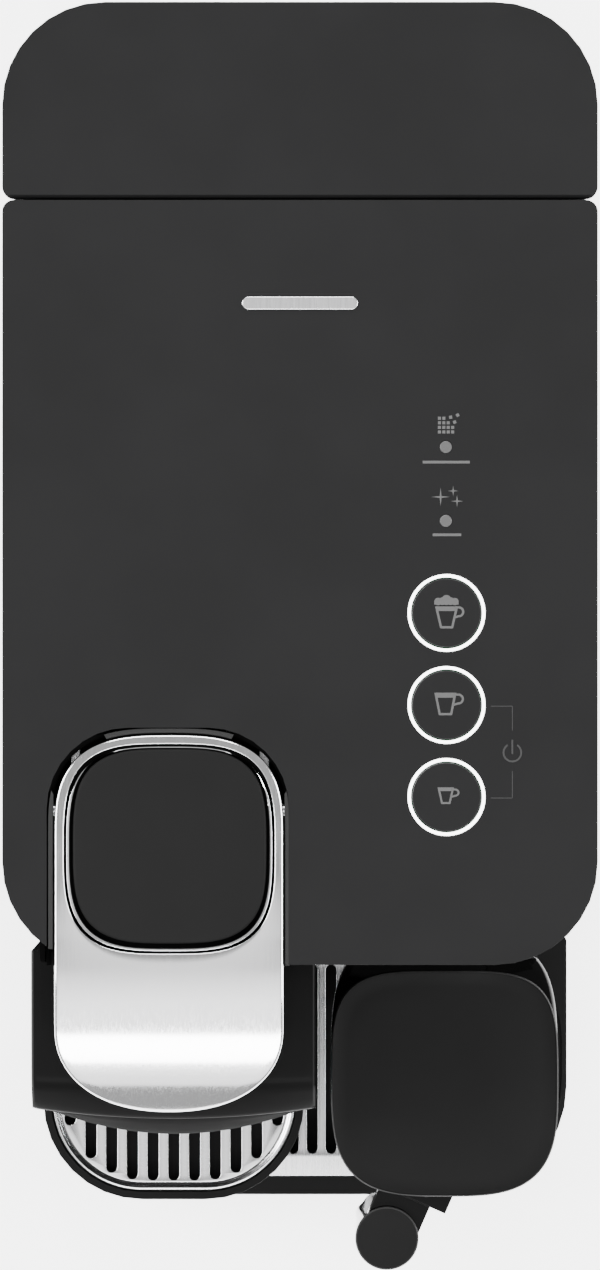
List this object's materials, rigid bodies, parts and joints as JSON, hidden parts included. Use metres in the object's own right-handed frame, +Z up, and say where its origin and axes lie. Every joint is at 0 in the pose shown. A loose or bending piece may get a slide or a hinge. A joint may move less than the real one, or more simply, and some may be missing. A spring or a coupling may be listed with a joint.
{
  "type": "pod coffee machine",
  "caption": "Pod coffee machine: slab body with a chromed lever brew head, push buttons, rear water tank, capsule container with folding cup support, drip tray and docked milk jug with spout.",
  "frame": {"origin": "centre of the bounding box's footprint, on the worktop under the rubber feet", "axes": "+X to the right seen from the front, +Y towards the water tank at the rear, +Z up; the brew head and jug face -Y"},
  "size_m": [0.154, 0.334, 0.256],
  "materials": {
    "base_chassis": "matt moulded",
    "rubber_feet": "matt",
    "chassis_screws": "zinc plated",
    "container_rails": "matt moulded",
    "housing": "fine satin texture",
    "front_panel": "satin",
    "top_cover": "fine matt texture",
    "lever_bezel": "gloss",
    "lever_well": "gloss",
    "nose_cover": "gloss above, satin in front",
    "coffee_outlet": "satin",
    "brew_frame": "glass-filled nylon",
    "capsule_cage": "cast",
    "lever_axle": "ground",
    "tank_dock": "matt moulded",
    "tank_seat": "moulded",
    "pump": "coil and steel yoke",
    "pump_mounts": "matt",
    "heater_block": "cast",
    "flow_meter": "moulded",
    "water_hoses": "translucent silicone",
    "control_board": "circuit board",
    "control_panel_board": "circuit board",
    "button_switches": "moulded",
    "light_rings": "lit diffuser",
    "indicator_windows": "lit diffuser",
    "badge_plate": "satin",
    "steam_connector": "satin",
    "steam_valve": "turned",
    "jug_hook": "satin",
    "cord_gland": "matt",
    "lever_shell": "satin plated plastic",
    "lever_pad": "soft matt",
    "lever_frame": "satin",
    "extraction_head": "glass-filled nylon",
    "head_links": "pressed",
    "button": "fine matt texture",
    "water_tank": "smoked clear plastic",
    "tank_valve": "moulded",
    "tank_seal": "matt",
    "tank_lid": "fine matt texture",
    "tank_lid_pins": "ground",
    "drip_tray": "satin",
    "drip_grid": "brushed",
    "capsule_container": "satin",
    "cup_hinge_pin": "ground",
    "cup_support": "satin",
    "cup_grid": "polished",
    "jug_container": "clear plastic",
    "jug_lid_body": "gloss",
    "jug_lid_cover": "matt",
    "jug_seal": "matt",
    "milk_pickup_tube": "clear silicone",
    "spout_arm": "gloss",
    "spout_cap": "matt",
    "spout_tube": "clear plastic",
    "spout_core": "satin"
  },
  "bodies": {
    "machine": {"base_chassis": "base_chassis", "rubber_feet": "rubber_feet", "chassis_screws": "chassis_screws", "container_rails": "container_rails", "housing": "housing", "front_panel": "front_panel", "top_cover": "top_cover", "lever_bezel": "lever_bezel", "lever_well": "lever_well", "nose_cover": "nose_cover", "coffee_outlet": "coffee_outlet", "brew_frame": "brew_frame", "capsule_cage": "capsule_cage", "lever_axle": "lever_axle", "tank_dock": "tank_dock", "tank_seat": "tank_seat", "pump": "pump", "pump_mounts": "pump_mounts", "heater_block": "heater_block", "flow_meter": "flow_meter", "water_hoses": "water_hoses", "control_board": "control_board", "control_panel_board": "control_panel_board", "button_switches": "button_switches", "light_rings": "light_rings", "indicator_windows": "indicator_windows", "badge_plate": "badge_plate", "steam_connector": "steam_connector", "steam_valve": "steam_valve", "jug_hook": "jug_hook", "cord_gland": "cord_gland"},
    "lever": {"lever_shell": "lever_shell", "lever_pad": "lever_pad", "lever_frame": "lever_frame"},
    "extraction_unit": {"extraction_head": "extraction_head", "head_links": "head_links"},
    "button_milk": {"button_milk": "button"},
    "button_long": {"button_long": "button"},
    "button_short": {"button_short": "button"},
    "water_tank": {"water_tank": "water_tank", "tank_valve": "tank_valve", "tank_seal": "tank_seal", "tank_lid_pins": "tank_lid_pins"},
    "tank_lid": {"tank_lid": "tank_lid"},
    "drip_tray": {"drip_tray": "drip_tray"},
    "drip_grid": {"drip_grid": "drip_grid"},
    "capsule_container": {"capsule_container": "capsule_container", "cup_hinge_pin": "cup_hinge_pin"},
    "cup_support": {"cup_support": "cup_support", "cup_grid": "cup_grid"},
    "milk_jug": {"jug_container": "jug_container"},
    "jug_lid": {"jug_lid_body": "jug_lid_body", "jug_lid_cover": "jug_lid_cover", "jug_seal": "jug_seal", "milk_pickup_tube": "milk_pickup_tube"},
    "milk_spout": {"spout_arm": "spout_arm", "spout_cap": "spout_cap", "spout_tube": "spout_tube", "spout_core": "spout_core"}
  },
  "joints": [
    {"name": "lever_hinge", "type": "hinge", "parent": "machine", "child": "lever", "pos_m": [-0.0339, -0.042, 0.2496], "axis": [-1, 0, 0], "range_deg": [0, 80]},
    {"name": "extraction_slide", "type": "slide", "parent": "machine", "child": "extraction_unit", "axis": [0, -1, 0], "range_m": [0, 0.0284]},
    {"name": "button_milk_press", "type": "slide", "parent": "machine", "child": "button_milk", "axis": [0, 0, -1], "range_m": [0, 0.0008], "stiffness_N_per_m": 500, "springref_m": -0.0006},
    {"name": "button_long_press", "type": "slide", "parent": "machine", "child": "button_long", "axis": [0, 0, -1], "range_m": [0, 0.0008], "stiffness_N_per_m": 500, "springref_m": -0.0006},
    {"name": "button_short_press", "type": "slide", "parent": "machine", "child": "button_short", "axis": [0, 0, -1], "range_m": [0, 0.0008], "stiffness_N_per_m": 500, "springref_m": -0.0006},
    {"name": "tank_lift", "type": "slide", "parent": "machine", "child": "water_tank", "axis": [0, 0, 1], "range_m": [0, 0.22]},
    {"name": "tank_lid_hinge", "type": "hinge", "parent": "water_tank", "child": "tank_lid", "pos_m": [0, 0.1222, 0.2516], "axis": [1, 0, 0], "range_deg": [0, 80]},
    {"name": "drip_tray_slide", "type": "slide", "parent": "machine", "child": "drip_tray", "axis": [0, -1, 0], "range_m": [0, 0.15]},
    {"name": "drip_grid_lift", "type": "slide", "parent": "drip_tray", "child": "drip_grid", "axis": [0, 0, 1], "range_m": [0, 0.02]},
    {"name": "capsule_container_slide", "type": "slide", "parent": "machine", "child": "capsule_container", "axis": [0, -1, 0], "range_m": [0, 0.08]},
    {"name": "cup_support_fold", "type": "hinge", "parent": "capsule_container", "child": "cup_support", "pos_m": [-0.0352, -0.0865, 0.09], "axis": [-1, 0, 0], "range_deg": [0, 65]},
    {"name": "milk_jug_slide", "type": "slide", "parent": "machine", "child": "milk_jug", "axis": [0, -1, 0], "range_m": [0, 0.09]},
    {"name": "jug_lid_lift", "type": "slide", "parent": "milk_jug", "child": "jug_lid", "axis": [0, 0, 1], "range_m": [0, 0.11]},
    {"name": "milk_spout_swivel", "type": "hinge", "parent": "jug_lid", "child": "milk_spout", "pos_m": [0.041, -0.118, 0.172], "axis": [0, 0, 1], "range_deg": [-36, 74]}
  ],
  "couplings": [
    {"joint": "extraction_slide", "follows": "lever_hinge", "m_per_rad": 0.02026}
  ]
}
